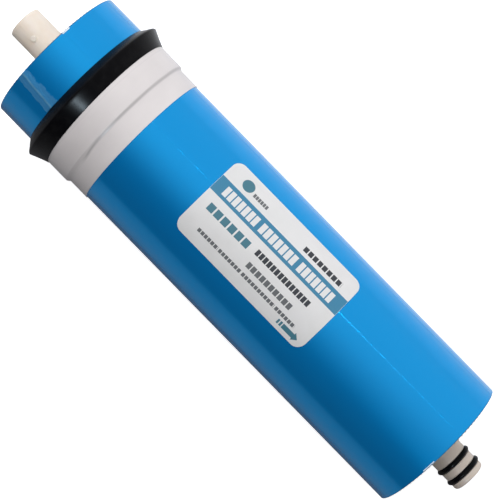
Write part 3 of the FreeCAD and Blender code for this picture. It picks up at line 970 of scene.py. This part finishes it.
# %% Seal outline
LIP_RADIUS = (seal_high[1] - seal_low[1]) / 2
TOE_LEAN = (0.15, 0.05)
LIP_LEAN = (0.55, -0.35)
ROOT_SHIFT = 0.47
ROOT_LEAN = (-0.78, -0.61)
SEAL_CORNERS = [
    (1.15, ROLL_RADIUS + 0.03 * MM, TOE_LEAN), (1.4, ROLL_RADIUS + 0.45 * MM, TOE_LEAN),
    (3.0, ROLL_RADIUS + 2.55 * MM, (0.3, -0.1)), (4.55, LIP_RADIUS - 0.50 * MM, LIP_LEAN),
    (5.0, LIP_RADIUS - 0.10 * MM, LIP_LEAN), (5.3, LIP_RADIUS, LIP_LEAN),
    (5.6, LIP_RADIUS - 0.10 * MM, LIP_LEAN), (7.4, LIP_RADIUS - 0.93 * MM, (0.4, -0.4)),
    (10.4, LIP_RADIUS - 2.24 * MM, (-0.2, -0.5)),
    (13.2 + ROOT_SHIFT, LIP_RADIUS - 3.50 * MM, ROOT_LEAN),
    (13.3 + ROOT_SHIFT, ROLL_RADIUS + 1.15 * MM, ROOT_LEAN),
    (25.2, ROLL_RADIUS + 1.15 * MM, (0.0, 0.0)), (25.2, ROLL_RADIUS + 0.03 * MM, (0.0, 0.0))]


def lean_ring(middle, radius, top, side):
    """Lean the selected ring by lengths in millimetres at its top and its far side."""
    for value, axis in ((-top, "Y"), (side, "Z")):
        bpy.ops.transform.rotate(value=value * MM / radius, orient_axis=axis,
                                 center_override=middle)


def turn_rings(name, corners, start, facets):
    """Extrude a circle through the corners of an outline."""
    bpy.ops.object.select_all(action="DESELECT")
    first = (start + corners[0][0] * MM, 0, AXIS_HEIGHT)
    bpy.ops.mesh.primitive_circle_add(vertices=facets, radius=corners[0][1],
                                      rotation=(0, math.pi / 2, 0), location=first)
    ring = bpy.context.object
    ring.name = name
    settle(ring)
    bpy.ops.object.mode_set(mode="EDIT")
    bpy.ops.mesh.select_all(action="SELECT")
    lean_ring(first, corners[0][1], *corners[0][2])
    for (before, old, old_lean), (along, radius, lean) in zip(corners, corners[1:]):
        middle = (start + along * MM, 0, AXIS_HEIGHT)
        step = {"value": ((along - before) * MM, 0, 0)}
        bpy.ops.mesh.extrude_region_move(TRANSFORM_OT_translate=step)
        bpy.ops.transform.resize(value=(1, radius / old, radius / old), center_override=middle)
        lean_ring(middle, radius, lean[0] - old_lean[0], lean[1] - old_lean[1])
    bpy.ops.object.mode_set(mode="OBJECT")
    return ring


print("lip radius", round(LIP_RADIUS, 4), "corners", len(SEAL_CORNERS))

# %% [markdown]
# The rings give an open skin. Its two end rings are joined to close it, and the finished
# seal stands for the measured one. A hundred and sixty facets look round at this size.

# %% Leaning seal
SEAL_FACETS = 160


def make_leaning_seal():
    """The seal turned ring by ring and closed."""
    seal = turn_rings("leaning_seal", SEAL_CORNERS, seal_low[0], SEAL_FACETS)
    inner = ROLL_RADIUS + 0.1 * MM
    pick_points(seal, lambda co: math.hypot(co.y, co.z - AXIS_HEIGHT) < inner)
    bpy.ops.mesh.bridge_edge_loops()
    bpy.ops.mesh.select_all(action="SELECT")
    bpy.ops.mesh.normals_make_consistent(inside=False)
    bpy.ops.object.mode_set(mode="OBJECT")
    smooth_below(seal, 28)
    seal.data.materials.append(seal_rubber)
    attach(seal, "root")
    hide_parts("brine_seal")
    return seal


leaning_seal = make_leaning_seal()
at_lip = [point.co for point in leaning_seal.data.vertices
          if math.hypot(point.co.y, point.co.z - AXIS_HEIGHT) > LIP_RADIUS - 0.05 * MM]
for side, pick in (("far", max), ("near", min)):
    place = pick(at_lip, key=lambda co: co.y)
    print("lip at the", side, "side", round((place.x - seal_low[0]) / MM, 2), "mm from the toe")

# %% [markdown]
# The tape was wound by the same hand. A copy of its solid has its first edge leaned like
# the seal's root, and its step and last edge leaned the other amount, ring by ring from the
# far end, so that no ring passes another.

# %% Leaning tape
TAPE_STEP_BEGINS = tape_low[0] + 10.5 * MM
TAPE_LEAN_SHIFT = 0.85 * MM
TAPE_SIZED_AT = ROLL_RADIUS + 1.2 * MM
RING_SLACK = 0.006 * MM


def lean_tape():
    """A copy of the tape whose rings between its ends lean by hand."""
    tape = copy_solid("seal_tape", "leaning_tape")
    places = sorted({round(point.co.x, 5) for point in tape.data.vertices}, reverse=True)
    for place in places:
        if tape_low[0] + FACE_SLACK < place < TAPE_STEP_BEGINS:
            continue
        pick_points(tape, lambda co: abs(co.x - place) < RING_SLACK)
        shift, lean = TAPE_LEAN_SHIFT, (TAPE_LEAN_TOP / MM, TAPE_LEAN_SIDE / MM)
        if place < TAPE_STEP_BEGINS:
            shift, lean = ROOT_SHIFT * MM, ROOT_LEAN
        bpy.ops.transform.translate(value=(shift, 0, 0))
        lean_ring((place + shift, 0, AXIS_HEIGHT), TAPE_SIZED_AT, *lean)
    bpy.ops.object.mode_set(mode="OBJECT")
    smooth_below(tape, 30)
    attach(tape, "root")
    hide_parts("seal_tape")
    return tape


leaning_tape = lean_tape()
print("leaning tape:", len(leaning_tape.data.polygons), "faces")

# %% [markdown]
# Where a turn of film ends at a face, a shred of its clear backing is left on the rim: a
# short one at the feed face and a longer, thinner one at the outlet. Each is painted pale,
# a painted highlight for the shine on the clear shred. Each is a flat strip, curled by
# lifting its outer edge, thickened, and bent round the roll.

# %% Film tabs
# Painted highlight: the tabs' pale colour stands for the shine on the clear shreds.
TAB_PAINTED_HIGHLIGHT = (0.80, 0.90, 0.97)
TAB_THICKNESS = 0.1 * MM
TAB_RAISED = 0.08 * MM
tab_highlight_finish = new_material("film_tab_highlight", TAB_PAINTED_HIGHLIGHT, 0.25)[0]


def make_film_tab(name, reach_round, reach_along, lift, turn, middle, outwards):
    """A tab of film whose outer edge, on the given side, is lifted."""
    tab = flat_strip(name, reach_round, reach_along, 12, 4)
    pick_points(tab, lambda co: co.z * outwards > reach_along * 0.1)
    bpy.ops.transform.translate(value=(0, -0.45 * lift, 0))
    pick_points(tab, lambda co: co.z * outwards > reach_along * 0.4)
    bpy.ops.transform.translate(value=(0, -0.55 * lift, 0))
    pick_points(tab, lambda co: abs(co.x) > reach_round * 0.42)
    bpy.ops.transform.resize(value=(1, 1, 0.6), center_override=(0, 0, 0))
    bpy.ops.object.mode_set(mode="OBJECT")
    bake_modifier(tab, "SOLIDIFY", "thickness", thickness=TAB_THICKNESS)
    bake_modifier(tab, "SUBSURF", "finer", levels=2, render_levels=2)
    wrap_on_roll(tab, ROLL_RADIUS + TAB_RAISED, turn, middle)
    smooth_below(tab, 50)
    tab.data.materials.append(tab_highlight_finish)
    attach(tab, "root")
    return tab


feed_tab = make_film_tab(
    "feed_film_tab", reach_round=4.4 * MM, reach_along=0.7 * MM, lift=0.06 * MM,
    turn=math.radians(17.0), middle=FEED_FACE + 0.55 * MM, outwards=-1)
outlet_tab = make_film_tab(
    "outlet_film_tab", reach_round=7.0 * MM, reach_along=0.45 * MM, lift=0.05 * MM,
    turn=math.radians(-15.5), middle=OUTLET_FACE - 0.62 * MM, outwards=1)
print("film tabs:", feed_tab.name, outlet_tab.name)

# %% [markdown]
# The element lies on a pale table and the camera looks straight down on it, turned so that
# the tube runs from corner to corner. A long lens keeps the roll's sides nearly parallel.

# %% Camera
CAMERA_DISTANCE = 0.817
CAMERA_TURN = math.radians(45.66)
CAMERA_ASIDE = (0.0002, -0.0003)
LENS = 125.9
SENSOR_WIDTH = 36.0


def make_camera():
    """A long lens straight above the roll."""
    data = bpy.data.cameras.new("camera")
    data.lens = LENS
    data.sensor_width = SENSOR_WIDTH
    camera = bpy.data.objects.new("camera", data)
    bpy.context.scene.collection.objects.link(camera)
    camera.location = (*CAMERA_ASIDE, AXIS_HEIGHT + CAMERA_DISTANCE)
    camera.rotation_euler = (0, 0, CAMERA_TURN)
    bpy.context.scene.camera = camera
    return camera


camera = make_camera()
print("camera height", round(camera.location.z, 3))

# %% [markdown]
# The table is a white sheet lit from below, so it comes out white and keeps only a faint
# shadow. What the object gets back from it is weaker and painted: painted shade makes the
# sheet greyer on the near side, a painted shadow makes it darkest in a strip close to the
# roll, and its glow towards the object is painted light.

# %% Table
TABLE_WHITE = (0.86, 0.865, 0.885)
# Painted shade on the near side and a painted shadow close to the roll, seen only by the object.
TABLE_NEAR_SHADE = (0.38, 0.385, 0.40)
TABLE_PAINTED_SHADOW = (0.22, 0.22, 0.23)
TABLE_GLOW = 0.76
TABLE_BACKLIGHT = 0.16
NEAR_BACKLIGHT = 0.3
GREY_BEFORE = -0.04
WHITE_AFTER = 0.03
DARK_UNTIL = -0.05
PLAIN_GREY_FROM = -0.11
TABLE_SIZE = 8
TABLE_GAP = 0.2 * MM


def make_table():
    """A white sheet lit from below, with painted shade, a painted shadow and painted light that
    only the object sees.
    """
    material, tree, shader = new_material("table_card", TABLE_WHITE, 0.7)
    shader.inputs["Specular IOR Level"].default_value = 0.1
    output = tree.nodes["Material Output"]
    path = tree.nodes.new("ShaderNodeLightPath")
    seen = path.outputs["Is Camera Ray"]
    parts = tree.nodes.new("ShaderNodeSeparateXYZ")
    tree.links.new(object_point(tree), parts.inputs[0])
    far_side = spread(tree, parts.outputs["Y"], GREY_BEFORE, WHITE_AFTER)
    white = reckon(tree, "MAXIMUM", far_side, seen)
    away = spread(tree, parts.outputs["Y"], PLAIN_GREY_FROM, DARK_UNTIL, 1.0, 0.0)
    table_shades = blend_colours(tree, away, TABLE_PAINTED_SHADOW, TABLE_NEAR_SHADE)
    tree.links.new(blend_colours(tree, white, table_shades, TABLE_WHITE), shader.inputs["Base Color"])
    near_light = reckon(tree, "MULTIPLY", away, NEAR_BACKLIGHT)
    open_part = reckon(tree, "MAXIMUM", far_side, near_light)
    # Painted light: the sheet's glow towards the object, less on the near side.
    below = reckon(tree, "MULTIPLY", reckon(tree, "SUBTRACT", 1.0, seen), TABLE_BACKLIGHT)
    below = reckon(tree, "MULTIPLY", below, open_part)
    glow = tree.nodes.new("ShaderNodeEmission")
    strength = reckon(tree, "MULTIPLY_ADD", seen, TABLE_GLOW, below)
    tree.links.new(strength, glow.inputs["Strength"])
    both = tree.nodes.new("ShaderNodeAddShader")
    tree.links.new(shader.outputs[0], both.inputs[0])
    tree.links.new(glow.outputs[0], both.inputs[1])
    tree.links.new(both.outputs[0], output.inputs["Surface"])
    bpy.ops.object.select_all(action="DESELECT")
    bpy.ops.mesh.primitive_plane_add(size=TABLE_SIZE, location=(0, 0, -TABLE_GAP))
    table = bpy.context.object
    table.name = "table"
    table.data.materials.append(material)
    settle(table)
    return table


table = make_table()
print("stage:", table.name)

# %% [markdown]
# A studio tent lights the object. Its far wall and roof glow and its near wall is dim, with
# a soft change a little before the top. The world stands for the tent, and its strength
# follows one direction, so nothing with a hard edge is mirrored in the film.

# %% Studio tent
TENT_BRIGHT_SIDE = (-0.25, 0.93, 0.25)
TENT_DIM = 0.09
TENT_BRIGHT = 0.78
TENT_TURNS_FROM = -0.55
TENT_TURNS_TO = 0.75


def make_tent():
    """A world whose glow follows one direction, and which is plain white to the camera."""
    world = bpy.data.worlds.new("studio_tent")
    bpy.context.scene.world = world
    world.use_nodes = True
    tree = world.node_tree
    wall = tree.nodes["Background"]
    wall.inputs["Color"].default_value = (1, 1, 1, 1)
    look = tree.nodes.new("ShaderNodeTexCoord")
    side = tree.nodes.new("ShaderNodeVectorMath")
    side.operation = "DOT_PRODUCT"
    tree.links.new(look.outputs["Generated"], side.inputs[0])
    side.inputs[1].default_value = TENT_BRIGHT_SIDE
    glow = spread(tree, side.outputs["Value"], TENT_TURNS_FROM, TENT_TURNS_TO,
                  TENT_DIM, TENT_BRIGHT)
    path = tree.nodes.new("ShaderNodeLightPath")
    seen = path.outputs["Is Camera Ray"]
    kept = reckon(tree, "MULTIPLY", glow, reckon(tree, "SUBTRACT", 1.0, seen))
    tree.links.new(reckon(tree, "ADD", kept, seen), wall.inputs["Strength"])
    return world


tent = make_tent()
print("world:", tent.name)

# %% [markdown]
# One soft lamp overhead gives the matt surfaces some shape. It is kept out of mirrors, as a
# lamp behind the tent's cloth would be. A small weak lamp past the outlet is seen only in
# mirrors, and draws the short shine on the seal and the O-rings.

# %% Lamps
GLINT_BLUE = (0.72, 0.88, 1.0)


def make_lamp(name, place, size, power, mirrored, lighting):
    """A soft rectangular lamp that points at the middle of the roll."""
    data = bpy.data.lights.new(name, "AREA")
    data.shape = "RECTANGLE"
    data.size = size[0]
    data.size_y = size[1]
    data.energy = power
    lamp = bpy.data.objects.new(name, data)
    bpy.context.scene.collection.objects.link(lamp)
    lamp.location = place
    aim = Vector((0, 0, AXIS_HEIGHT)) - Vector(place)
    lamp.rotation_euler = aim.to_track_quat("-Z", "Y").to_euler()
    lamp.visible_glossy = mirrored
    lamp.visible_diffuse = lighting
    return lamp


tent_lamp = make_lamp("tent_lamp", place=(-0.35, 0.15, 0.97), size=(0.8, 0.6), power=4.7,
                      mirrored=False, lighting=True)
glint_lamp = make_lamp("glint_lamp", place=(0.62, -0.36, 0.74), size=(0.09, 0.07), power=4.6,
                       mirrored=True, lighting=False)
glint_lamp.data.color = GLINT_BLUE
bpy.context.scene.view_settings.view_transform = "Standard"
print("lamps:", tent_lamp.data.energy, glint_lamp.data.energy)

# %% The end
print("the end")
